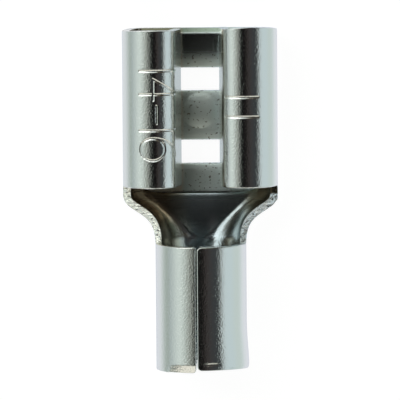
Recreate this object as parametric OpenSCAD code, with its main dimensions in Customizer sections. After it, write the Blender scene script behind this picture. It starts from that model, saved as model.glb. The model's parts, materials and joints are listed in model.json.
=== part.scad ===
// Female spade terminal: one stamped and folded sheet that is pushed onto a flat tab.
// It lies on its flat base, as it would come to rest. X runs across it, Y from the wire
// entry (-) to the mouth that takes the tab (+), and Z up. The origin is under the middle
// of its overall box, on the surface that it lies on. Sizes are in millimetres.

/* [Sheet] */
// Thickness of the plated sheet
sheet_t = 0.4; // [0.34:0.01:0.46]

/* [Receptacle] */
// Overall width across the two rolled walls
receptacle_w = 7.8; // [7.4:0.05:8.6]
// Length of the rolled walls along the tab
receptacle_l = 7.9; // [7.5:0.1:9]
// Outer radius of the bend from the base to a side wall
corner_r = 0.9; // [0.7:0.05:1.1]
// Straight height of a side wall between its two bends
wall_h = 0.54; // [0.4:0.02:0.8]
// Outer radius of the shoulder, from the side wall up to the crest
shoulder_r = 1.66; // [1.4:0.02:1.8]
// Outer radius of the curl just past the crest
curl_r = 1.3; // [1.1:0.02:1.5]
// Turn of the curl before it tightens, in degrees
curl_turn = 35; // [28:1:42]
// Outer radius of the curl where it tightens
hook_r = 0.8; // [0.65:0.01:0.9]
// Lean of the lips from upright, in degrees
lip_lean = 11; // [4:1:16]
// Clear height between the base and the lips, which the tab fills and springs open
tab_gap = 0.75; // [0.6:0.01:0.9]

/* [Base cut-outs and lead-in] */
// Width of each window, wider than the gap between the lips
window_w = 3.2; // [2.4:0.1:4]
// Distance from the mouth to the front window
window_front = 2.02; // [1.6:0.02:2.4]
// Length of the front window
window_l = 1.15; // [0.8:0.01:1.4]
// Length of the bridge between the two windows
bridge_l = 2.5; // [2.1:0.05:2.9]
// Length of the rear window
rear_window_l = 1.18; // [0.8:0.01:1.3]
// Length of the bevel that leads the tab in
lead_l = 0.3; // [0.15:0.01:0.5]
// Depth of that bevel at the mouth
lead_h = 0.2; // [0.1:0.01:0.26]

/* [Detent] */
// Distance from the mouth to the middle of the detent
detent_at = 4.2; // [4.1:0.05:4.6]
// Diameter of the detent
detent_d = 1.7; // [1.3:0.05:1.9]
// Height of the detent above the base, into the hole of the tab
detent_h = 0.15; // [0.08:0.01:0.25]

/* [Funnel] */
// Length of the funnel between the rolls and the barrel
funnel_l = 2.8; // [2.4:0.05:3.4]
// Share of the funnel's length at which its waist is half drawn in
waist_at = 0.465; // [0.4:0.005:0.55]
// How suddenly the waist draws in
waist_power = 5.5; // [4:0.1:7]
// Height of the sheared rim where it leaves the rolls
rim_h = 1.55; // [1.5:0.01:1.6]
// Radius of the relief notch where a roll ends
relief_r = 0.16; // [0.1:0.01:0.22]
// Distance from the rolls back to the tab stop
stop_at = 0.36; // [0.25:0.01:0.6]
// Length over which the tab stop rises
stop_run = 0.2; // [0.15:0.01:0.35]
// Rise of the tab stop
stop_h = 0.12; // [0.08:0.01:0.2]

/* [Barrel] */
// Radius of the bore that takes the wire
bore_r = 1.88; // [1.6:0.02:2.1]
// Length of the barrel
barrel_l = 6.2; // [5:0.1:8]
// Offset of the seam to the left of the middle
seam_off = 0.3; // [0:0.05:0.5]
// Width of the seam between the two leaves
seam_w = 0.1; // [0.06:0.01:0.2]
// Corner radius of the left leaf
left_leaf_r = 0.12; // [0.08:0.01:0.25]
// Corner radius of the right leaf
right_leaf_r = 0.2; // [0.1:0.01:0.3]
// How far the wire entry flares beyond the barrel
flare_h = 0.06; // [0.03:0.01:0.12]
// Length of the flare
flare_l = 0.55; // [0.3:0.05:0.9]
// Length of the bevel inside the wire entry
entry_l = 0.4; // [0.2:0.05:0.6]
// Depth of the bevel inside the wire entry
entry_h = 0.24; // [0.1:0.02:0.26]

/* [Hidden] */

// Places along the length
total_l = receptacle_l + funnel_l + barrel_l;
mouth_y = total_l / 2;
rolls_y = mouth_y - receptacle_l;
barrel_y = rolls_y - funnel_l;
wire_y = barrel_y - barrel_l;

// Section of the receptacle
half_w = receptacle_w / 2;
base_half = half_w - corner_r;
shoulder_z = corner_r + wall_h;
crest_x = half_w - shoulder_r;
crest_z = shoulder_z + shoulder_r;
tight = 90 + curl_turn;
curl_at = [crest_x, crest_z - curl_r];
hook_at = curl_at + (curl_r - hook_r) * [cos(tight), sin(tight)];
lip_top = hook_at + hook_r * [-cos(lip_lean), sin(lip_lean)];
lip_foot_z = sheet_t + tab_gap + sheet_t * sin(lip_lean);
lip_l = (lip_top[1] - lip_foot_z) / cos(lip_lean);

// Barrel
barrel_r = bore_r + sheet_t;
axis_z = barrel_r + flare_h;

// Detent: a spherical cap of this radius
detent_r = (pow(detent_d / 2, 2) + pow(detent_h, 2)) / (2 * detent_h);

// Fineness of round surfaces, and of the funnel around a corner and along its length
$fn = 96;
bend_step = 5;
arc_steps = 9;
ring_steps = 32;
// Reach of a cut past the faces that it goes through
over = 0.5;
// Tongues that carry the funnel into its neighbours: their length and how far they lie
// inside the sheet, and the hair by which the funnel's ends lie inside their neighbours
tongue_l = 0.25;
tongue_in = sheet_t / 4;
hair = 0.01;

function reversed(list) = [for (i = [len(list) - 1:-1:0]) list[i]];
// Points along a bend of the sheet, about a centre at radius r, from angle a0 to a1
function bend(at, r, a0, a1) =
    let (steps = ceil((a1 - a0) / bend_step))
    [for (i = [0:steps]) let (a = a0 + (a1 - a0) * i / steps) at + r * [cos(a), sin(a)]];
// One face of the right-hand wall from the base to the end of the lip, at a depth below
// the outer face: corner, wall, shoulder, curl, tighter curl and lip
function wall_face(depth) = concat(
    bend([base_half, corner_r], corner_r - depth, -90, 0),
    bend([crest_x, shoulder_z], shoulder_r - depth, 0, 90),
    bend(curl_at, curl_r - depth, 90, tight),
    bend(hook_at, hook_r - depth, tight, 180 - lip_lean),
    [lip_top + lip_l * [-sin(lip_lean), -cos(lip_lean)] + depth * [cos(lip_lean), -sin(lip_lean)]]
);

module section() {
    right = concat(wall_face(0), reversed(wall_face(sheet_t)));
    left = [for (p = reversed(right)) [-p[0], p[1]]];
    polygon(concat(right, left));
}

// A window in the base, from a distance behind the mouth
module window(from, l) {
    translate([-window_w / 2, mouth_y - from - l, -over]) cube([window_w, l, sheet_t + 2 * over]);
}

// Bevel on the base at the mouth
module lead_in() {
    wide = 2 * base_half;
    translate([-wide / 2, mouth_y, sheet_t]) rotate([90, 0, 90]) linear_extrude(wide)
        polygon([[-lead_l, 0], [over, -lead_h * (1 + over / lead_l)], [over, over], [-lead_l, over]]);
}

module detent_ball(top) {
    translate([0, mouth_y - detent_at, top - detent_r]) sphere(detent_r);
}

// Raised side of the detent, from inside the sheet up
module detent_cap() {
    intersection() {
        detent_ball(sheet_t + detent_h);
        translate([-detent_d, mouth_y - detent_at - detent_d, sheet_t / 2 + detent_h / 2])
            cube([2 * detent_d, 2 * detent_d, sheet_t]);
    }
}

module receptacle() {
    difference() {
        union() {
            translate([0, mouth_y, 0]) rotate([90, 0, 0]) linear_extrude(receptacle_l) section();
            detent_cap();
        }
        detent_ball(detent_h);
        window(window_front, window_l);
        window(window_front + window_l + bridge_l, rear_window_l);
        lead_in();
        // The relief notch behind each roll, just above the rim
        translate([-half_w - over, rolls_y, rim_h + relief_r + hair]) rotate([0, 90, 0])
            cylinder(r = relief_r, h = receptacle_w + 2 * over);
    }
}

// The funnel's sections, along s from 0 at the rolls to 1 at the barrel
function drawn(s) = 1 / (1 + pow(s / waist_at, waist_power));
function waist(s) = (drawn(s) - drawn(1)) / (1 - drawn(1));
function outline(s) = barrel_r + (half_w - barrel_r) * waist(s);
// The flat floor narrows evenly to nothing at the barrel
function floor_half(s) = base_half * (1 - s) + 2 * hair * s;
function bend_r(s) = outline(s) - floor_half(s);
function smooth(x) = x <= 0 ? 0 : x >= 1 ? 1 : x * x * (3 - 2 * x);
function floor_z(s) = stop_h * smooth((s * funnel_l - stop_at) / stop_run) * (1 - s) + flare_h * s;
function rim_z(s) = max(rim_h + (axis_z - rim_h) * s, floor_z(s) + bend_r(s) + 2 * hair);

// Points from the left rim round the floor to the right rim, at radius r of the bend
function skin(s, r) = let (w = floor_half(s), z = floor_z(s) + bend_r(s)) concat(
    [[-w - r, rim_z(s)]],
    [for (i = [arc_steps:-1:0]) let (a = 90 * i / arc_steps) [-w - r * sin(a), z - r * cos(a)]],
    [for (i = [0:arc_steps]) let (a = 90 * i / arc_steps) [w + r * sin(a), z - r * cos(a)]],
    [[w + r, rim_z(s)]]
);
// One ring at y, with its faces lying e inside the sheet
function ring(s, y, e) = [
    for (p = concat(skin(s, bend_r(s) - e), reversed(skin(s, bend_r(s) - sheet_t + e))))
        [p[0], y, p[1]]
];

module funnel() {
    rings = concat(
        [ring(0, rolls_y + tongue_l, tongue_in)],
        [for (k = [0:ring_steps]) let (s = k / ring_steps)
            ring(s, rolls_y - s * funnel_l, k == 0 || k == ring_steps ? hair : 0)],
        [ring(1, barrel_y - tongue_l, tongue_in)]
    );
    n = len(rings[0]);
    last = (len(rings) - 1) * n;
    points = [for (one = rings) for (p = one) p];
    sides = [
        for (k = [0:n:last - n]) for (i = [0:n - 1]) let (a = k + i, b = k + (i + 1) % n)
            each [[a, b + n, b], [a, a + n, b + n]]
    ];
    // Each end is a strip of faces between the outer and the inner skin
    strip = [for (i = [0:n / 2 - 2]) [i, i + 1, n - 2 - i, n - 1 - i]];
    ends = concat(strip, [for (f = strip) reversed(f) + [last, last, last, last]]);
    polyhedron(points = points, faces = concat(sides, ends));
}

// Rounds one leaf's corner at a place on the seam; side -1 is the left leaf, 1 the right,
// and along 1 is the end towards the funnel, -1 the wire entry
module leaf_corner(y, side, along, r) {
    translate([-seam_off + side * (seam_w / 2 + r), y - along * r, axis_z])
        mirror([side > 0 ? 1 : 0, 0, 0]) mirror([0, along > 0 ? 0 : 1, 0])
            linear_extrude(2 * barrel_r) difference() {
                square(r + seam_w / 4);
                circle(r);
            }
}

module barrel() {
    difference() {
        translate([0, wire_y, axis_z]) rotate([-90, 0, 0]) rotate_extrude() polygon([
            [bore_r + entry_h, 0],
            [barrel_r + flare_h, 0],
            [barrel_r, flare_l],
            [barrel_r, barrel_l],
            [bore_r, barrel_l],
            [bore_r, entry_l]
        ]);
        translate([-seam_off - seam_w / 2, wire_y - over, axis_z])
            cube([seam_w, barrel_l + 2 * over, 2 * barrel_r]);
        for (end = [[barrel_y, 1], [wire_y, -1]]) {
            leaf_corner(end[0], -1, end[1], left_leaf_r);
            leaf_corner(end[0], 1, end[1], right_leaf_r);
        }
    }
}

module terminal() {
    color([0.78, 0.8, 0.8]) union() {
        receptacle();
        funnel();
        barrel();
    }
}

terminal();
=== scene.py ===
"""Looks of the female spade terminal.

The real one is a single sheet of tin-plated brass: punched to an outline, stamped, rolled
into a receptacle for a flat tab at one end and into a wire barrel at the other. So the piece
is made in the same way here. Its sheet is a grid of cells, and each corner of a cell is laid
on the folded form by the runs and bends of the section that it belongs to.

Sizes in this script are in millimetres until a mesh is made, which is in metres. A place on
the sheet is given by a column, from 0 in the middle to the edges (left ones are below 0), and
a row, or by its distance d behind the mouth. Sides are -1 for left and 1 for right.
"""
import json
import math

import bmesh
import bpy
import numpy as np
from mathutils import Matrix, Quaternion, Vector


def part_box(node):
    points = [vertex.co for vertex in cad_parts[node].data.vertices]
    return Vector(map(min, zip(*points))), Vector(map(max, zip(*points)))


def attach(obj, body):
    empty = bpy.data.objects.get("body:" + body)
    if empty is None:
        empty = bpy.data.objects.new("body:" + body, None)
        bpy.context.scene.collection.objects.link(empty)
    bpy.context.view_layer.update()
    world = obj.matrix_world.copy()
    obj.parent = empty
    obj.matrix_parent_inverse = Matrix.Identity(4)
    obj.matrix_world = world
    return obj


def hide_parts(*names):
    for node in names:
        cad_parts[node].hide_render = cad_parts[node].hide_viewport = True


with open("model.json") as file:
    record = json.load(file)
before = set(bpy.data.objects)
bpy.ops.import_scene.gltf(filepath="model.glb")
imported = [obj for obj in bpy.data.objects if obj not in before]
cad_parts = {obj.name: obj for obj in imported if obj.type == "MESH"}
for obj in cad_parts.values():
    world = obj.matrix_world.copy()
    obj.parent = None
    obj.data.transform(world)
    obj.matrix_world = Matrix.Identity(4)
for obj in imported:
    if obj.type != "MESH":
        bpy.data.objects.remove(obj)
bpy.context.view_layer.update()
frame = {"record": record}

MM = 0.001

# ---------------------------------------------------------------- sizes of the sheet
low, high = (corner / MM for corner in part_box("terminal"))
wire_barrel = next(m for m in frame["record"]["mounts"] if m["name"] == "wire_barrel")

SHEET = 0.4
HALF_W, MOUTH_Y, WIRE_Y = high.x, high.y, low.y
ROLLS_L, BARREL_L = 7.9, 6.2
ROLLS_Y, BARREL_Y = MOUTH_Y - ROLLS_L, WIRE_Y + BARREL_L
FUNNEL_L = ROLLS_Y - BARREL_Y
# Distances behind the mouth at which the barrel's leaves start and end
FRONT_AT = ROLLS_L + FUNNEL_L
WIRE_AT = FRONT_AT + BARREL_L

# The receptacle's section: bend to the side wall, wall, shoulder up to the crest, curl and lip
CORNER_R = 0.9
WALL_H = 0.54
SHOULDER_R = 1.66
CREST_Z = CORNER_R + WALL_H + SHOULDER_R
BASE_HALF = HALF_W - CORNER_R
LIP_FOOT_Z = 1.18
# The two curls, as (outer radius, turn) past the crest: the tool left them a little unlike
CURLS = {-1: [(1.0, 24.5), (1.5, 18.5), (0.74, 34.0)], 1: [(1.4, 27.0), (1.0, 58.0)]}
# How far the mouth's edge stands out at the top of the bend and at the crest, on each side, over
# what length, and from which share of the roll to which it falls back to half
MOUTH_LEAN, LEAN_L, LEAN_FALLS = {-1: (-0.1, 0.05), 1: (-0.03, 0.19)}, 1.8, (0.4, 0.8)

# The base: windows from the mouth on, and how far the punch draws the sheet down round them, as
# (reach, depth) ahead of each and behind; the lead-in for the tab; the detent
WINDOW_HALF = 1.6
WINDOWS = [(2.02, 3.17), (5.67, 6.85)]
DIE_ROLL_AHEAD, DIE_ROLL_BEHIND = (0.7, 0.07), (0.5, 0.06)
LEAD_L, LEAD_H = 0.24, 0.16
DETENT_AT, DETENT_R, DETENT_H = 4.2, 0.85, 0.1

# The funnel: where its outline is half way in and how sharply, how high its rims start, the least
# wall above its bends, and the step that stops the tab, which bows towards the mouth at the sides
WAIST_AT, WAIST_POWER = 0.485, 5.0
RIM_H = 1.55
LEAST_WALL = 0.01
STOP_AT, STOP_RUN, STOP_H, STOP_BOW = 0.55, 0.06, 0.035, 0.2
# How far the shear tilted each rim, over how many columns, and the shares of the funnel's length
# in which the tilt comes and goes
RIM_TILT, RIM_BAND, TILT_COMES, TILT_GOES = {-1: 0.21, 1: 0.14}, 4, 0.06, 0.1
# A pit in the left rim, as its distance behind the rolls, half length and depth
PIT_AT, PIT_HALF, PIT_H = 0.47, 0.07, 0.08
# The hook that the right rim starts with: up to where it keeps the rolls' width, the length in
# which it lets go, how far it stands inside the rolls, and where and how it is hollowed
HOOK_L, HOOK_GOES, HOOK_INSET = 0.78, 0.12, 0.01
HOLLOW_AT, HOLLOW = (0.05, 0.4), Vector((0.17, 0, -0.5))

# The barrel, and the rounded corners of its leaves
BORE_R = wire_barrel["dims"]["r_mm"]
BARREL_R = BORE_R + SHEET
AXIS_Z = wire_barrel["pos_m"][2] / MM
BARREL_LIFT = AXIS_Z - BARREL_R
SEAM_OFF, SEAM_W = 0.26, 0.08
LEAF_R = {-1: 0.12, 1: 0.2}
# The bell mouth inside the barrel, under the leaves' front edges: how far ahead of them it starts
# to rise, and from where to where it starts beside the middle of the floor
BELL_H, BELL_L, BELL_RISE, BELL_STARTS = 0.075, 0.5, 1.5, (0.35, 0.95)
# The wire end: the bevel of its entry, how much longer each leaf is at its side, how far the right
# one flares, where the left one is nipped down, and the score across the right one
ENTRY_L, ENTRY_H = 0.4, 0.24
LONGER, LONGER_L = {-1: 0.14, 1: 0.1}, 1.5
FLARE_OUT, FLARED_L = 0.11, 2.2
NIP_H, NIP_L, NIPPED = 0.15, 0.4, (1.8, 1.4)
SCORE_H, SCORE_AT, SCORE_W, SCORED = 0.035, 0.3, 0.05, (0.1, 0.25, 0.75, 0.95)

# Radius of a rounded edge, and the share of it that each kind of edge gets
EDGE_R = 0.09
ROLL_END, LEAF_EDGE, WINDOW_EDGE, PLAIN_EDGE = 0.85, 0.6, 1.0, 0.35


# ---------------------------------------------------------------- folding
def fold(runs):
    """Follows the outer face of a section from the middle of its floor, heading right.

    A run is (length,), and a bend is (outer radius, turn in degrees), which turns up and in.
    Returns the length of each part and a function from distance to the point (x, z) there.
    """
    parts, x, z, heading = [], 0.0, 0.0, 0.0
    for run in runs:
        if len(run) == 1:
            parts.append((run[0], x, z, heading, None))
            x += run[0] * math.cos(heading)
            z += run[0] * math.sin(heading)
        else:
            radius, turn = run[0], math.radians(run[1])
            centre = (x - radius * math.sin(heading), z + radius * math.cos(heading))
            parts.append((radius * turn, *centre, heading, radius))
            heading += turn
            x = centre[0] + radius * math.sin(heading)
            z = centre[1] - radius * math.cos(heading)

    def at(distance):
        part = 0
        while distance > parts[part][0] and part < len(parts) - 1:
            distance -= parts[part][0]
            part += 1
        _, px, pz, start, radius = parts[part]
        if radius is None:
            return px + distance * math.cos(start), pz + distance * math.sin(start)
        now = start + distance / radius
        return px + radius * math.sin(now), pz - radius * math.cos(now)

    return [part[0] for part in parts], at


def rolled_wall(curl):
    """Section of one half of the receptacle, whose lip reaches down to its foot."""
    z, angle = CREST_Z, 0.0
    for radius, step in curl:
        z -= radius * (math.cos(math.radians(angle)) - math.cos(math.radians(angle + step)))
        angle += step
    lip = (z - LIP_FOOT_Z) / math.cos(math.radians(90.0 - angle))
    return [(BASE_HALF,), (CORNER_R, 90.0), (WALL_H,), (SHOULDER_R, 90.0), *curl, (lip,)]


ROLLED = {side: fold(rolled_wall(curl)) for side, curl in CURLS.items()}


def smooth(x):
    """Goes from 0 to 1 as x does, levelling off at both ends."""
    x = min(max(x, 0.0), 1.0)
    return x * x * (3 - 2 * x)


def drawn(s):
    """How far the drawing die has let the outline stay wide, from 1 at the rolls."""
    return 1 / (1 + (s / WAIST_AT) ** WAIST_POWER)


def outline(s):
    """Half width of the funnel, from s = 0 at the rolls to 1 at the barrel."""
    return BARREL_R + (HALF_W - BARREL_R) * (drawn(s) - drawn(1)) / (1 - drawn(1))


def past_stop(d, across):
    """Distance behind the tab stop's step, at a share of the way from the middle to the bends."""
    return d - ROLLS_L - STOP_AT + STOP_BOW * min(across, 1) ** 4


def floor_z(s, x=0.0):
    """Height of the funnel's floor."""
    step = smooth(past_stop(s * FUNNEL_L + ROLLS_L, x / BASE_HALF) / STOP_RUN)
    return STOP_H * step * (1 - s) + BARREL_LIFT * s


def funnel_section(s):
    """Runs of the funnel's section, and how high its floor lies."""
    floor = BASE_HALF * (1 - s)
    radius = outline(s) - floor
    rim = max(RIM_H + (AXIS_Z - RIM_H) * s, floor_z(s) + radius + LEAST_WALL)
    return [(floor,), (radius, 90.0), (rim - floor_z(s) - radius,)], floor_z(s)


def seam_turn(side, d_end):
    """Angle at which a leaf of the barrel ends, with its corners rounded towards each end."""
    edge = SEAM_W / 2 - side * SEAM_OFF
    corner = LEAF_R[side]
    if d_end < corner:
        edge += corner - math.sqrt(corner ** 2 - (corner - max(d_end, 0)) ** 2)
    return 180.0 - math.degrees(math.asin(edge / BARREL_R))


# ---------------------------------------------------------------- the grid of the sheet
WINDOW_COLUMN, FLOOR_COLUMNS, BEND_COLUMNS, WALL_COLUMNS = 17, 30, 16, 6
ROLL_COLUMNS, LEAF_COLUMNS = 54, 32
RIM_COLUMN = FLOOR_COLUMNS + BEND_COLUMNS + WALL_COLUMNS
LIP_COLUMN, SEAM_COLUMN = RIM_COLUMN + ROLL_COLUMNS, RIM_COLUMN + LEAF_COLUMNS
# Length on the receptacle's section from the middle to where the wall is as high as the rim
BEND_ARC = BASE_HALF + CORNER_R * math.pi / 2
RIM_ARC = BEND_ARC + WALL_H + SHOULDER_R * math.asin((RIM_H - CORNER_R - WALL_H) / SHOULDER_R)


def ticks(stops, steps):
    """Even steps from stop to stop, each at most as long as its own figure."""
    found = [stops[0]]
    for start, end, step in zip(stops, stops[1:], steps):
        count = math.ceil(abs(end - start) / step - 1e-6)
        found += [start + (end - start) * k / count for k in range(1, count + 1)]
    return found


def arcs_of(side):
    """Length on the receptacle's section from the middle to each column."""
    stops = [0, WINDOW_HALF, BASE_HALF, BEND_ARC, RIM_ARC]
    counts = [WINDOW_COLUMN, FLOOR_COLUMNS - WINDOW_COLUMN, BEND_COLUMNS, WALL_COLUMNS]
    arcs = ticks(stops, [(b - a) / n for a, b, n in zip(stops, stops[1:], counts)])
    roll = sum(ROLLED[side][0]) - arcs[-1]
    return np.array(arcs + [arcs[-1] + roll * (k + 1) / ROLL_COLUMNS for k in range(ROLL_COLUMNS)])


ARCS = {side: arcs_of(side) for side in CURLS}
# Distance behind the mouth of each row. A cell at a rounded edge is at least about as long as the
# rounding.
ROWS = (
    ticks([0, LEAD_L, *WINDOWS[0], *WINDOWS[1], ROLLS_L - 0.4, ROLLS_L - 0.1, ROLLS_L],
          [0.05, 0.14, 0.1, 0.09, 0.1, 0.11, 0.05, 0.1])
    + ticks([ROLLS_L, ROLLS_L + 0.33, ROLLS_L + 0.63, FRONT_AT], [0.055, 0.024, 0.055])[1:]
    + ticks([FRONT_AT, FRONT_AT + 0.1, FRONT_AT + 0.3, WIRE_AT - 0.6, WIRE_AT],
            [0.1, 0.05, 0.25, 0.05])[1:]
)
ROLLS_ROW = ROWS.index(ROLLS_L)
BARREL_ROW = min(range(len(ROWS)), key=lambda row: abs(ROWS[row] - FRONT_AT))


def between(values, place):
    """Value at a place that may lie between two whole indices."""
    k = min(int(place), len(values) - 2)
    return values[k] + (values[k + 1] - values[k]) * (place - k)


def mouth_lean(side, column, z):
    """How far the mouth's edge stands out at a column of the receptacle, z high."""
    low_lean, high_lean = MOUTH_LEAN[side]
    rolled = (column - RIM_COLUMN) / ROLL_COLUMNS
    start, end = LEAN_FALLS
    if rolled > start:
        return high_lean * (1 - 0.5 * smooth((rolled - start) / (end - start)))
    if z < CORNER_R:
        return low_lean * z / CORNER_R
    return low_lean + (high_lean - low_lean) * min((z - CORNER_R) / (CREST_Z - CORNER_R), 1)


def receptacle_point(side, column, d):
    """Point on the outer face of the receptacle, on the right side whichever its side."""
    x, z = ROLLED[side][1](between(ARCS[side], column))
    from_detent = math.hypot(x, d - DETENT_AT)
    if column <= FLOOR_COLUMNS and from_detent < DETENT_R:
        ball = (DETENT_R ** 2 + DETENT_H ** 2) / (2 * DETENT_H)
        z += math.sqrt(ball ** 2 - from_detent ** 2) - (ball - DETENT_H)
    return x, MOUTH_Y - d + mouth_lean(side, column, z) * max(0, 1 - d / LEAN_L), z


def wire_end(side, x, y, z, to_end):
    """The same point after the cut and the flare of the wire end, of which it is to_end ahead."""
    height = (z - AXIS_Z) / BARREL_R
    on_top = smooth(3 * height)
    longer = LONGER[side] * smooth(1 - to_end / LONGER_L)
    if side < 0:
        nipped = smooth((NIPPED[0] - x) / (NIPPED[0] - NIPPED[1])) * on_top
        return x, y - longer * smooth(1 + height), z - NIP_H * max(0, 1 - to_end / NIP_L) * nipped
    flare = smooth(1 - to_end / FLARED_L) * smooth(0.5 + to_end / 0.4) * smooth(1 + 2 * height)
    x += FLARE_OUT * flare * (x / BARREL_R) ** 2
    scored = smooth((x - SCORED[0]) / (SCORED[1] - SCORED[0]))
    scored *= smooth((SCORED[3] - x) / (SCORED[3] - SCORED[2])) * on_top
    z -= SCORE_H * math.exp(-((to_end - SCORE_AT) / SCORE_W) ** 2) * scored
    return x, y - longer * smooth(1 - abs(height)), z


def outer_point(column, row):
    """Point on the outer face of the folded sheet, at a column and row that may lie between."""
    side = -1 if column < 0 else 1
    column = abs(column)
    d = between(ROWS, row)
    if row <= ROLLS_ROW:
        x, y, z = receptacle_point(side, column, d)
        return side * x, y, z
    if column <= RIM_COLUMN:
        s = min((d - ROLLS_L) / FUNNEL_L, 1.0)
        runs, lift = funnel_section(s)
        lengths, at = fold(runs)
        x, z = at(between(ARCS[side], column) / RIM_ARC * sum(lengths))
        z += lift if x > BASE_HALF else floor_z(s, x)
    else:
        end = seam_turn(side, min(WIRE_AT - d, d - FRONT_AT))
        turn = math.radians(90 + (end - 90) * (column - RIM_COLUMN) / LEAF_COLUMNS)
        x, z = BARREL_R * math.sin(turn), AXIS_Z - BARREL_R * math.cos(turn)
    y = MOUTH_Y - d
    if WIRE_AT - d < FLARED_L:
        x, y, z = wire_end(side, x, y, z, WIRE_AT - d)
    return side * x, y, z


def is_sheet(column, row):
    """Whether the cell between these and the next column and row is metal."""
    inner = min(abs(column), abs(column + 1))
    if row < ROLLS_ROW:
        middle = (ROWS[row] + ROWS[row + 1]) / 2
        open_here = any(start < middle < end for start, end in WINDOWS)
        return inner < LIP_COLUMN and not (open_here and inner < WINDOW_COLUMN)
    return inner < (RIM_COLUMN if row < BARREL_ROW else SEAM_COLUMN)


def depth_at(x, d, column):
    """Thickness of the sheet, less what the tools took or pressed away on its inner face."""
    depth = SHEET
    if abs(column) <= FLOOR_COLUMNS:
        if d < LEAD_L:
            depth -= LEAD_H * (1 - d / LEAD_L)
        for start, end in WINDOWS:
            for (reach, deep), away in ((DIE_ROLL_AHEAD, start - d), (DIE_ROLL_BEHIND, d - end)):
                if 0 <= away < reach:
                    depth -= deep * (1 - away / reach) ** 2
    past_front = d - FRONT_AT
    if -BELL_RISE < past_front < BELL_L:
        bell = 1 - past_front / BELL_L if past_front > 0 else 1 + past_front / BELL_RISE
        start, end = BELL_STARTS
        depth -= BELL_H * bell * smooth((abs(x) - start) / (end - start))
    if WIRE_AT - d < ENTRY_L:
        depth -= ENTRY_H * (1 - (WIRE_AT - d) / ENTRY_L)
    return depth


# ---------------------------------------------------------------- stamped numbers
def arc_line(cx, cy, rx, ry, start, end, count=16):
    """Points on an arc of an ellipse, between two angles in degrees."""
    turns = [math.radians(start + (end - start) * k / count) for k in range(count + 1)]
    return [(cx + rx * math.cos(turn), cy + ry * math.sin(turn)) for turn in turns]


# Width and strokes of each figure in a box 1 high, with x to the right
FIGURES = {
    "1": (0.08, [[(0.04, 0), (0.04, 1)]]),
    "4": (0.62, [[(0.46, 0), (0.46, 1), (0.02, 0.34), (0.62, 0.34)]]),
    "6": (0.66, [arc_line(0.33, 0.32, 0.32, 0.31, 0, 360, 24),
                 arc_line(0.62, 0.34, 0.61, 0.66, 182, 96)]),
    "-": (0.5, [[(0, 0.42), (0.5, 0.42)]]),
}
STROKE_HALF, STROKE_DEEP = 0.07, 0.026
STROKE_STEP = 0.04


def stamp_lines(text, side, x_foot, x_head, d_start, gap):
    """Strokes of a stamp as (arc, distance from the mouth), read from the mouth onwards.

    Its figures stand from x_foot to x_head from the middle of the part, with gap times their
    height between them.
    """
    xs = [ROLLED[side][1](arc)[0] for arc in ARCS[side]]
    widest = int(np.argmax(xs))

    def arc_at(x):
        return ARCS[side][min(range(widest, len(xs)), key=lambda column: abs(xs[column] - x))]

    foot, head = arc_at(x_foot), arc_at(x_head)
    tall = abs(x_foot - x_head)
    lines, d = [], d_start
    for figure in text:
        width, strokes = FIGURES[figure]
        lines += [[(foot + (head - foot) * v, d + tall * u) for u, v in stroke] for stroke in strokes]
        d += tall * (width + gap)
    return lines


STAMPS = {
    -1: stamp_lines("14-16", -1, 3.0, 1.25, 1.9, 0.17),
    1: stamp_lines("11", 1, 2.9, 1.25, 3.25, 0.52),
}
# Straight parts of each stamp, as their two ends
STROKES = {side: [ends for line in lines for ends in zip(line, line[1:])]
           for side, lines in STAMPS.items()}


def to_stroke(side, arc, d):
    """Distance of a place on the unrolled sheet to the nearest stroke of its stamp."""
    nearest = math.inf
    for (u0, d0), (u1, d1) in STROKES[side]:
        du, dd = u1 - u0, d1 - d0
        t = min(max(((arc - u0) * du + (d - d0) * dd) / (du * du + dd * dd), 0), 1)
        nearest = min(nearest, math.hypot(arc - u0 - t * du, d - d0 - t * dd))
    return nearest


def stamped_cells():
    """Cells that a stroke of a stamp touches."""
    found = set()
    for side in STAMPS:
        for (u0, d0), (u1, d1) in STROKES[side]:
            steps = max(2, math.ceil(math.hypot(u1 - u0, d1 - d0) / STROKE_STEP))
            for k in range(steps + 1):
                u, d = u0 + (u1 - u0) * k / steps, d0 + (d1 - d0) * k / steps
                for a in (-STROKE_HALF, 0, STROKE_HALF):
                    for b in (-STROKE_HALF, 0, STROKE_HALF):
                        column = int(np.searchsorted(ARCS[side], u + a)) - 1
                        row = int(np.searchsorted(ROWS, d + b)) - 1
                        found.add((column if side > 0 else -column - 1, row))
    return {cell for cell in found if is_sheet(*cell)}


# ---------------------------------------------------------------- the piece
BURNISHED, DULL, SHEARED, DRAWN = range(4)
# Parts into which a cell is divided each way where a stamp crosses it
FINE = 5


def inner_finish(column, row):
    """Finish of a cell's inner face: dull up to the tab stop's step and drawn behind it."""
    ahead = past_stop(ROWS[row], abs(column) / FLOOR_COLUMNS) < 0
    return DULL if row < ROLLS_ROW or ahead and abs(column) < FLOOR_COLUMNS else DRAWN


def edge_shares(column, row, neighbour):
    """Rounding of the outer and the inner edge of a cell towards a neighbour that isn't there."""
    outer = inner = PLAIN_EDGE
    if row == ROLLS_ROW - 1 and neighbour[1] > row:
        outer = ROLL_END
    elif row >= BARREL_ROW and neighbour[1] == row or row == BARREL_ROW and neighbour[1] < row:
        outer = LEAF_EDGE
    if 0 < row < ROLLS_ROW and max(abs(column), abs(column + 1)) <= WINDOW_COLUMN + 1:
        inner = WINDOW_EDGE
    return outer, inner


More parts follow.
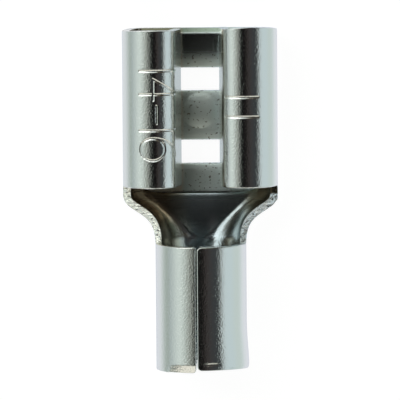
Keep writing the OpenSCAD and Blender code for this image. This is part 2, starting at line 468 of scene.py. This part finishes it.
def shape_rim(place, column, row, d):
    """Moves a point of the outer face to where the shear left the funnel's rim."""
    share = (abs(column) - RIM_COLUMN) / RIM_BAND + 1
    if not 0 < share <= 1 or row < ROLLS_ROW:
        return
    side = -1 if column < 0 else 1
    behind = d - ROLLS_L
    if ROLLS_ROW < row < BARREL_ROW:
        s = behind / FUNNEL_L
        tilt = RIM_TILT[side] * min(1, s / TILT_COMES, (1 - s) / TILT_GOES)
        place.z -= tilt * smooth(share)
    if side > 0:
        hook = smooth((HOOK_L - behind) / HOOK_GOES) * share
        place.x += (HALF_W - HOOK_INSET - place.x) * hook
    elif column == -RIM_COLUMN and abs(behind - PIT_AT) < PIT_HALF:
        place.z -= PIT_H


class Sheet:
    """The sheet in the making: its points on the folded form, and its corners so far.

    A corner's key is its column and row in fifths of a cell.
    """

    def __init__(self):
        self.mesh = bmesh.new()
        self.outer, self.inner = {}, {}
        self.points = np.full((2 * LIP_COLUMN + 1, len(ROWS), 3), np.nan)
        for row in range(len(ROWS)):
            edge = LIP_COLUMN if row <= ROLLS_ROW else RIM_COLUMN if row < BARREL_ROW else SEAM_COLUMN
            for column in range(-edge, edge + 1):
                self.points[column + LIP_COLUMN, row] = outer_point(column, row)
        outward = np.cross(self.slopes(0), self.slopes(1))
        self.outward = outward / np.linalg.norm(outward, axis=2, keepdims=True)
        self.stamped = stamped_cells()
        self.near_stamp = {(column + a, row + b) for column, row in self.stamped
                           for a in (-1, 0, 1) for b in (-1, 0, 1)}

    def slopes(self, axis):
        """From the point before each to the one after it, or from or to itself at an edge."""
        ahead, behind = np.roll(self.points, -1, axis), np.roll(self.points, 1, axis)
        edge = [slice(None)] * 2
        edge[axis] = -1
        ahead[tuple(edge)] = np.nan
        edge[axis] = 0
        behind[tuple(edge)] = np.nan
        ahead = np.where(np.isnan(ahead), self.points, ahead)
        behind = np.where(np.isnan(behind), self.points, behind)
        return ahead - behind

    def laid(self, key):
        """Point of the outer face at a corner, before shear and stamps, and the way out of it."""
        i, j = key[0] // FINE + LIP_COLUMN, key[1] // FINE
        a, b = key[0] % FINE / FINE, key[1] % FINE / FINE
        if not a and not b:
            return Vector(self.points[i, j]), Vector(self.outward[i, j])
        out = self.outward
        near, far = min(i + 1, len(out) - 1), min(j + 1, len(ROWS) - 1)
        mixed = (out[i, j] * (1 - a) * (1 - b) + out[near, j] * a * (1 - b)
                 + out[i, far] * (1 - a) * b + out[near, far] * a * b)
        return Vector(outer_point(key[0] / FINE, key[1] / FINE)), Vector(mixed).normalized()

    def corner(self, face, key):
        """Vertex of the outer or the inner face at a corner."""
        if key in face:
            return face[key]
        place, outward = self.laid(key)
        column, row = key[0] / FINE, key[1] / FINE
        d = between(ROWS, row)
        if face is self.inner:
            place -= outward * depth_at(place.x, d, column)
            if column == RIM_COLUMN and HOLLOW_AT[0] < d - ROLLS_L < HOLLOW_AT[1]:
                place += HOLLOW
        else:
            shape_rim(place, column, row, d)
            divided = key[0] % FINE or key[1] % FINE
            if divided or (key[0] // FINE, key[1] // FINE) in self.near_stamp:
                side = -1 if column < 0 else 1
                away = to_stroke(side, between(ARCS[side], abs(column)), d) / STROKE_HALF
                place -= outward * STROKE_DEEP * max(1 - away ** 2, 0)
        face[key] = self.mesh.verts.new(place * MM)
        return face[key]

    def ring(self, face, column, row):
        """Corners of a cell, and whatever a divided neighbour has put between them."""
        left, right, start, end = (FINE * n for n in (column, column + 1, row, row + 1))
        walk = ([(left + k, start) for k in range(FINE)] + [(right, start + k) for k in range(FINE)]
                + [(right - k, end) for k in range(FINE)] + [(left, end - k) for k in range(FINE)])
        return [self.corner(face, key) for key in walk
                if not (key[0] % FINE or key[1] % FINE) or key in face]

    def add_face(self, corners, finish):
        made = self.mesh.faces.new(corners)
        made.material_index = finish
        made.smooth = True

    def add_cells(self, cells):
        """Outer and inner faces. The divided cells come first, so that their neighbours meet them."""
        for column, row in sorted(self.stamped):
            for a in range(column * FINE, (column + 1) * FINE):
                for b in range(row * FINE, (row + 1) * FINE):
                    keys = [(a, b), (a + 1, b), (a + 1, b + 1), (a, b + 1)]
                    self.add_face([self.corner(self.outer, key) for key in keys], BURNISHED)
        for cell in cells:
            if cell not in self.stamped:
                self.add_face(self.ring(self.outer, *cell), BURNISHED)
            self.add_face(self.ring(self.inner, *cell)[::-1], inner_finish(*cell))

    def add_sheared_edges(self, cells):
        """Faces round the sheet and its windows. Returns their long edges and the rounding of each."""
        present, rounded = set(cells), []
        for column, row in cells:
            left, right, start, end = (FINE * n for n in (column, column + 1, row, row + 1))
            for neighbour, p, q in (
                ((column, row - 1), (left, start), (right, start)),
                ((column + 1, row), (right, start), (right, end)),
                ((column, row + 1), (right, end), (left, end)),
                ((column - 1, row), (left, end), (left, start)),
            ):
                if neighbour in present:
                    continue
                outer, inner = self.outer, self.inner
                self.add_face([outer[q], outer[p], inner[p], inner[q]], SHEARED)
                shares = edge_shares(column, row, neighbour)
                rounded += [((outer[p], outer[q]), shares[0]), ((inner[p], inner[q]), shares[1])]
        return rounded


def fold_sheet():
    """The whole terminal as one closed mesh: outer face, inner face and the sheared edge between."""
    sheet = Sheet()
    cells = [(column, row) for column in range(-LIP_COLUMN, LIP_COLUMN)
             for row in range(len(ROWS) - 1) if is_sheet(column, row)]
    sheet.add_cells(cells)
    rounded = sheet.add_sheared_edges(cells)
    weight = sheet.mesh.edges.layers.float.new("bevel_weight_edge")
    for ends, share in rounded:
        sheet.mesh.edges.get(ends)[weight] = share
    bmesh.ops.recalc_face_normals(sheet.mesh, faces=sheet.mesh.faces)
    data = bpy.data.meshes.new("folded_sheet")
    sheet.mesh.to_mesh(data)
    sheet.mesh.free()
    return data


# ---------------------------------------------------------------- finishes
def linear(hex_colour):
    """An sRGB hex colour as linear RGBA."""
    parts = [int(hex_colour[k:k + 2], 16) / 255 for k in (1, 3, 5)]
    return (*(c / 12.92 if c <= 0.04045 else ((c + 0.055) / 1.055) ** 2.4 for c in parts), 1.0)


def add(tree, kind, links=(), values=(), stops=(), **settings):
    """Adds a node with its settings, the values of its sockets, its ramp's stops and its links."""
    node = tree.nodes.new(kind)
    for name, value in settings.items():
        setattr(node, name, value)
    for socket, value in dict(values).items():
        node.inputs[socket].default_value = value
    for count, (place, colour) in enumerate(stops):
        points = node.color_ramp.elements
        point = points[count] if count < 2 else points.new(1.0)
        point.position, point.color = place, colour
    for socket, source in dict(links).items():
        tree.links.new(source, node.inputs[socket])
    return node


# Width, in the value of its noise, of the soft border of a fleck
FLECK_BORDER = 0.06


def tin_plate(name, colour, roughness, grain, flecks=None, dulled=None, tone_across=None,
              drag=(1, 1, 1)):
    """A tin finish on brass.

    grain lists the (size, depth) of its unevenness, and flecks is (size, share, colour) of the
    specks in it. dulled is (low y, high y, roughness from one to the other), and tone_across the
    colour from the left side to the right, both as pairs with places from 0 to 1. drag is how
    much closer together the grain lies along each axis.
    """
    material = bpy.data.materials.new(name)
    material.use_nodes = True
    tree = material.node_tree
    tree.nodes.clear()
    place = add(tree, "ShaderNodeTexCoord").outputs["Object"]
    axes = add(tree, "ShaderNodeSeparateXYZ", {"Vector": place}).outputs
    place = add(tree, "ShaderNodeMapping", {"Vector": place}, {"Scale": drag}).outputs[0]
    shader = add(tree, "ShaderNodeBsdfPrincipled",
                 values={"Metallic": 1.0, "Roughness": roughness, "Base Color": linear(colour)})
    normal = None
    for size, depth in grain:
        noise = add(tree, "ShaderNodeTexNoise", {"Vector": place}, {"Scale": 1 / (size * MM)})
        links = {"Height": noise.outputs[0]}
        if normal:
            links["Normal"] = normal
        normal = add(tree, "ShaderNodeBump", links, {"Distance": depth * MM}).outputs[0]
    tree.links.new(normal, shader.inputs["Normal"])
    shade = None
    if tone_across:
        across = add(tree, "ShaderNodeMapRange", {"Value": axes["X"]},
                     {"From Min": -HALF_W * MM, "From Max": HALF_W * MM})
        shade = add(tree, "ShaderNodeValToRGB", {"Fac": across.outputs[0]},
                    stops=[(at, linear(tone)) for at, tone in tone_across]).outputs[0]
    if flecks:
        size, share, fleck_colour = flecks
        noise = add(tree, "ShaderNodeTexNoise", {"Vector": place},
                    {"Scale": 1 / (size * MM), "Detail": 1.0})
        there = add(tree, "ShaderNodeMapRange", {"Value": noise.outputs[0]},
                    {"From Min": 1 - share, "From Max": 1 - share + FLECK_BORDER})
        links = {"Factor": there.outputs[0]}
        if shade:
            links[6] = shade
        shade = add(tree, "ShaderNodeMix", links, {6: linear(colour), 7: linear(fleck_colour)},
                    data_type="RGBA").outputs[2]
    if shade:
        tree.links.new(shade, shader.inputs["Base Color"])
    if dulled:
        low_y, high_y, roughness_along = dulled
        along = add(tree, "ShaderNodeMapRange", {"Value": axes["Y"]},
                    {"From Min": low_y * MM, "From Max": high_y * MM})
        rough = add(tree, "ShaderNodeValToRGB", {"Fac": along.outputs[0]},
                    stops=[(at, (r, r, r, 1.0)) for at, r in roughness_along])
        tree.links.new(rough.outputs[0], shader.inputs["Roughness"])
    add(tree, "ShaderNodeOutputMaterial", {"Surface": shader.outputs[0]})
    return material


# In the order of BURNISHED, DULL, SHEARED and DRAWN
FINISHES = [
    # Electro-tinned brass, pressed against polished tools: a soft mirror whose fine pitting
    # breaks up the edges of what it reflects. The real pits are too fine to show, so they are
    # drawn as coarse as 0.09 mm.
    tin_plate("burnished_tin_plate", "#ebebe6", 0.1, [(0.09, 0.011), (0.055, 0.006)]),
    # The same plate where no tool has rubbed it: matt and grey with dark pores, and brighter
    # towards the mouth, where tabs slide in, and at the line where the tool bent it
    tin_plate("dull_tin_plate", "#dde6e0", 0.3, [(0.25, 0.006), (0.1, 0.007)],
              flecks=(0.14, 0.345, "#8a887c"),
              # Its colour goes from brownish grey on the left side to nearly white on the right
              tone_across=[(0.0, "#beb4a4"), (0.37, "#beb4a4"), (0.4, "#b9c1bb"), (0.47, "#d8e0da"),
                       (0.6, "#f6fffb")],
              dulled=(ROLLS_Y - STOP_AT, MOUTH_Y,
                      [(0.0, 0.12), (0.012, 0.14), (0.03, 0.42), (0.3, 0.42), (0.72, 0.45),
                       (0.8, 0.42), (0.87, 0.2), (1.0, 0.14)])),
    # Brass laid bare by the shear and tinned over afterwards: pale, torn and glittering
    tin_plate("sheared_brass_edge", "#f4f2ea", 0.24, [(0.18, 0.11), (0.09, 0.07)],
              flecks=(0.09, 0.37, "#6a6860"), drag=(0.45, 1, 0.45),
              # Its colour is a little warmer on the left side than on the right
              tone_across=[(0.0, "#fbf9ee"), (0.4, "#faf9f0"), (0.6, "#f4f8f8")]),
    # Plate stretched by the drawing die: smooth. Its colour across the funnel is painted shade: brown
    # and dark up both walls, dimmed where the right wall's highlight falls, and bluish grey over the
    # floor between
    tin_plate("drawn_tin_plate", "#d8dad4", 0.2, [(0.3, 0.006), (0.09, 0.008)],
              dulled=(BARREL_Y, ROLLS_Y, [(0.0, 0.17), (0.35, 0.19), (0.85, 0.3)]),
              tone_across=[(0.0, "#7c6c58"), (0.2, "#8a7a66"), (0.28, "#948670"), (0.36, "#b8b8ae"),
                       (0.44, "#ccd6da"), (0.56, "#d0dade"), (0.62, "#b4bec0"),
                       (0.77, "#b4bcba"), (0.82, "#a09888"), (0.88, "#857864"),
                       (1.0, "#7c6c58")]),
]

piece = bpy.data.objects.new("folded_sheet", fold_sheet())
bpy.context.scene.collection.objects.link(piece)
for finish in FINISHES:
    piece.data.materials.append(finish)
bevel = piece.modifiers.new("rounded_edge", "BEVEL")
bevel.limit_method = "WEIGHT"
bevel.width = EDGE_R * MM
bevel.segments = 2
bevel.harden_normals = True
# The shortest cell at an edge would cut down the rounding everywhere
bevel.use_clamp_overlap = False
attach(piece, "root")
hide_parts("terminal")

# ---------------------------------------------------------------- floor
# Pale card as the metal above it mirrors it, from left to right: painted reflection tones, darker in
# the middle as painted shade under the part, and darker far out to both sides as painted falloff of
# the table's light
CARD_REACH = 30
CARD_PAINTED_REFLECTION = [
    (-30, "#a8b4b0"), (-22, "#a6b2ae"), (-12, "#bcc8c6"), (-8.5, "#d2dade"), (-6, "#e4eaf0"),
    (-3.5, "#e4e8f2"), (-1.5, "#c6d0d6"), (1.5, "#c6d0d6"), (3.5, "#e4e8f2"), (6, "#e6ecf4"),
    (8, "#d6e2e6"), (11, "#ccdada"), (30, "#ccdada"),
]
# What the eye sees is white paper, which has this much of its white from itself and the rest from
# the studio's light, so that it keeps the shadow
CARD_WHITE, CARD_LIT = 0.925, "#7c7c7c"
# Half its size in metres, and how far below the part it lies, in millimetres
FLOOR_HALF, FLOOR_DROP = 1.0, 0.01

floor_mesh = bpy.data.meshes.new("floor")
floor_mesh.from_pydata([(x, y, 0) for x, y in ((-FLOOR_HALF, -FLOOR_HALF), (FLOOR_HALF, -FLOOR_HALF),
                                               (FLOOR_HALF, FLOOR_HALF), (-FLOOR_HALF, FLOOR_HALF))],
                       [], [(0, 1, 2, 3)])
floor = bpy.data.objects.new("floor", floor_mesh)
floor.location.z = -FLOOR_DROP * MM
bpy.context.scene.collection.objects.link(floor)
card = bpy.data.materials.new("white_card")
card.use_nodes = True
tree = card.node_tree
tree.nodes.clear()
rays = add(tree, "ShaderNodeLightPath").outputs
place = add(tree, "ShaderNodeTexCoord").outputs["Object"]
axes = add(tree, "ShaderNodeSeparateXYZ", {"Vector": place}).outputs
across = add(tree, "ShaderNodeMapRange", {"Value": axes["X"]},
             {"From Min": -CARD_REACH * MM, "From Max": CARD_REACH * MM})
tone = add(tree, "ShaderNodeValToRGB", {"Fac": across.outputs[0]},
           stops=[((x / CARD_REACH + 1) / 2, linear(colour)) for x, colour in CARD_PAINTED_REFLECTION])
matt = add(tree, "ShaderNodeBsdfDiffuse", values={"Color": linear("#f2f2f2")})
paper = add(tree, "ShaderNodeBsdfDiffuse", values={"Color": linear(CARD_LIT)})
white = add(tree, "ShaderNodeEmission", values={"Color": linear("#ffffff"), "Strength": CARD_WHITE})
shown = add(tree, "ShaderNodeAddShader", {0: paper.outputs[0], 1: white.outputs[0]})
# Glossy rays see the card's painted reflection, which no light falls on, with its painted shade under
# the part
painted_card_reflection = add(tree, "ShaderNodeEmission", {"Color": tone.outputs[0]}, {"Strength": 1.0})
seen = add(tree, "ShaderNodeMixShader",
           {0: rays["Is Camera Ray"], 1: matt.outputs[0], 2: shown.outputs[0]})
mirrored = add(tree, "ShaderNodeMixShader",
               {0: rays["Is Glossy Ray"], 1: seen.outputs[0], 2: painted_card_reflection.outputs[0]})
add(tree, "ShaderNodeOutputMaterial", {"Surface": mirrored.outputs[0]})
floor.data.materials.append(card)

# ---------------------------------------------------------------- studio
# Walls of the studio by their angle from straight up, in degrees to the right, and their tone:
# pale screens at both sides, and a dark gap between them overhead
RING = [
    (-180, "#f0f2fa"), (-125, "#e8eaf2"), (-105, "#c8d4d8"), (-88, "#b0bcc0"), (-75, "#c4d0d0"),
    (-60, "#d8e4e2"), (-50, "#d0dcda"), (-42, "#b0bcb8"), (-34, "#a4aaa6"), (-26, "#929892"),
    (-20, "#4c504e"), (-11, "#141414"), (-5, "#0a0a0a"), (4, "#121212"), (10, "#393535"),
    (18, "#403c3c"), (34, "#3a3f43"), (44, "#3a3e40"), (50, "#404646"), (52.5, "#c8d0d0"),
    (60, "#cadae0"), (110, "#cadae0"), (130, "#dce4ec"), (180, "#f0f2fa"),
]
FRONT = [(-180, "#e8f0f0"), (-1, "#e8f0f0"), (14, "#8a8478"), (28, "#463e34"), (180, "#463e34")]
LOW_FRONT = [(-180, "#c8d0cc"), (-60, "#bcc6be"), (-20, "#a2ae9f"), (20, "#a2ae9f"),
             (50, "#463e34"), (180, "#463e34")]
GREY = [(-180, "#70766f"), (180, "#70766f")]
CREAM = [(-180, "#f6f4ea"), (180, "#f6f4ea")]
BACK = [(-180, "#d4dadc"), (-70, "#d4dadc"), (-30, "#a4aaa8"), (-8, "#6a6c6a"), (12, "#5c5e5e"),
        (34, "#888e8e"), (64, "#ccd4d8"), (180, "#ccd4d8")]
# Screens towards the mouth's side (+) and the wire's (-), and over which angles each takes over
SCREENS = [(14, 28, FRONT), (44, 56, LOW_FRONT), (-18, -28, GREY), (-30, -37, CREAM), (-52, -60, BACK)]
# A soft lamp up to the left, on the mouth's side: the way to it, the cosines of the angles from
# it at which its light starts and is full, and its strength
LAMP_AT, LAMP_EDGES, LAMP_POWER = Vector((-0.62, 0.5, 0.6)).normalized(), (0.84, 0.96), 0.85

world = bpy.data.worlds.new("studio")
bpy.context.scene.world = world
world.use_nodes = True
tree = world.node_tree
tree.nodes.clear()
direction = add(tree, "ShaderNodeTexCoord").outputs["Generated"]
axes = add(tree, "ShaderNodeSeparateXYZ", {"Vector": direction}).outputs
angle = add(tree, "ShaderNodeMath", {0: axes["X"], 1: axes["Z"]}, operation="ARCTAN2")
turn = add(tree, "ShaderNodeMapRange", {"Value": angle.outputs[0]},
           {"From Min": -math.pi, "From Max": math.pi})
tones = [add(tree, "ShaderNodeValToRGB", {"Fac": turn.outputs[0]},
             stops=[((degrees + 180) / 360, linear(colour)) for degrees, colour in stops]).outputs[0]
         for stops in (RING, *(screen for _, _, screen in SCREENS))]
sky = tones[0]
for (start, end, _), screen in zip(SCREENS, tones[1:]):
    lowest, highest = sorted((math.sin(math.radians(start)), math.sin(math.radians(end))))
    share = add(tree, "ShaderNodeMapRange", {"Value": axes["Y"]},
                {"From Min": lowest, "From Max": highest,
                 "To Min": float(end < start), "To Max": float(end > start)},
                interpolation_type="SMOOTHSTEP")
    sky = add(tree, "ShaderNodeMix", {"Factor": share.outputs[0], 6: sky, 7: screen},
              data_type="RGBA").outputs[2]
walls = add(tree, "ShaderNodeBackground", {"Color": sky}, {"Strength": 1.0})
facing = add(tree, "ShaderNodeVectorMath", {0: direction}, {1: LAMP_AT}, operation="DOT_PRODUCT")
power = add(tree, "ShaderNodeMapRange", {"Value": facing.outputs["Value"]},
            {"From Min": LAMP_EDGES[0], "From Max": LAMP_EDGES[1], "To Max": LAMP_POWER},
            interpolation_type="SMOOTHSTEP")
lamp = add(tree, "ShaderNodeBackground", {"Strength": power.outputs[0]}, {"Color": linear("#ffffff")})
studio = add(tree, "ShaderNodeAddShader", {0: walls.outputs[0], 1: lamp.outputs[0]})
backdrop = add(tree, "ShaderNodeBackground", values={"Color": linear("#ffffff"), "Strength": 1.0})
rays = add(tree, "ShaderNodeLightPath").outputs
both = add(tree, "ShaderNodeMixShader",
           {0: rays["Is Camera Ray"], 1: studio.outputs[0], 2: backdrop.outputs[0]})
add(tree, "ShaderNodeOutputWorld", {"Surface": both.outputs[0]})

# ---------------------------------------------------------------- camera
# In degrees: tilt towards the mouth, roll, and field of view. In metres: the rest.
CAMERA_TILT, CAMERA_ROLL, FIELD = 5.7, 0.42, 3.495
CAMERA_AWAY, CLIP = 0.33, (0.01, 5.0)
AIM = Vector((-0.00003, -0.00016, 0.0015))

camera = bpy.data.objects.new("camera", bpy.data.cameras.new("camera"))
bpy.context.scene.collection.objects.link(camera)
camera.data.angle = math.radians(FIELD)
camera.data.clip_start, camera.data.clip_end = CLIP
tilt = math.radians(CAMERA_TILT)
away = Vector((0, math.sin(tilt), math.cos(tilt)))
up = Vector((0, math.cos(tilt), -math.sin(tilt)))
upright = Matrix((up.cross(away), up, away)).transposed().to_quaternion()
camera.location = AIM + away * CAMERA_AWAY
camera.rotation_mode = "QUATERNION"
camera.rotation_quaternion = Quaternion(away, math.radians(-CAMERA_ROLL)) @ upright
bpy.context.scene.camera = camera
bpy.context.scene.view_settings.view_transform = "Standard"
